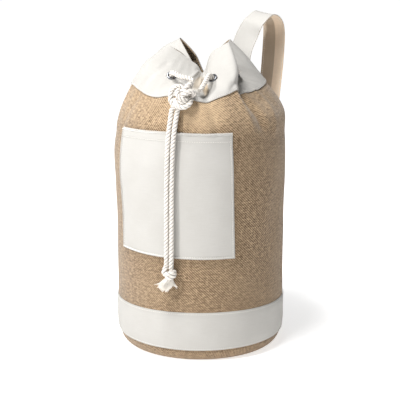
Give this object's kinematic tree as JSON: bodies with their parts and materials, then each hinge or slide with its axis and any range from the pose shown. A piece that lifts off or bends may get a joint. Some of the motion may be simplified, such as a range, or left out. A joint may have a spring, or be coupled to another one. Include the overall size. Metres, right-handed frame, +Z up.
{
  "type": "drawstring duffel bag",
  "caption": "Upright jute duffel bag with a gathered canvas collar, cotton drawstring, patch pocket, canvas band and shoulder strap.",
  "frame": {"origin": "middle of the round base, on the floor", "axes": "+Z up the bag, -Y the way the pocket faces, +X to the pocket's right seen from in front"},
  "size_m": [0.2629, 0.3378, 0.5022],
  "materials": {
    "jute": "coarse plain weave, matt",
    "canvas": "unbleached cotton canvas, matt",
    "webbing": "flat cotton strap with a tan inner face",
    "cotton": "three-strand twisted cotton rope",
    "steel": "bright nickel-plated eyelet"
  },
  "bodies": {
    "root": {"base": "jute", "body": "jute", "collar": "canvas", "band": "canvas", "pocket": "canvas", "eyelet_1": "steel", "eyelet_2": "steel", "eyelet_3": "steel", "eyelet_4": "steel", "eyelet_5": "steel", "eyelet_6": "steel", "eyelet_7": "steel", "eyelet_8": "steel", "drawstring_loop": "cotton", "drawstring_end_left": "cotton", "drawstring_end_right": "cotton", "front_knot": "cotton", "end_knot": "cotton", "frayed_ends": "cotton", "strap": "webbing"}
  },
  "joints": []
}
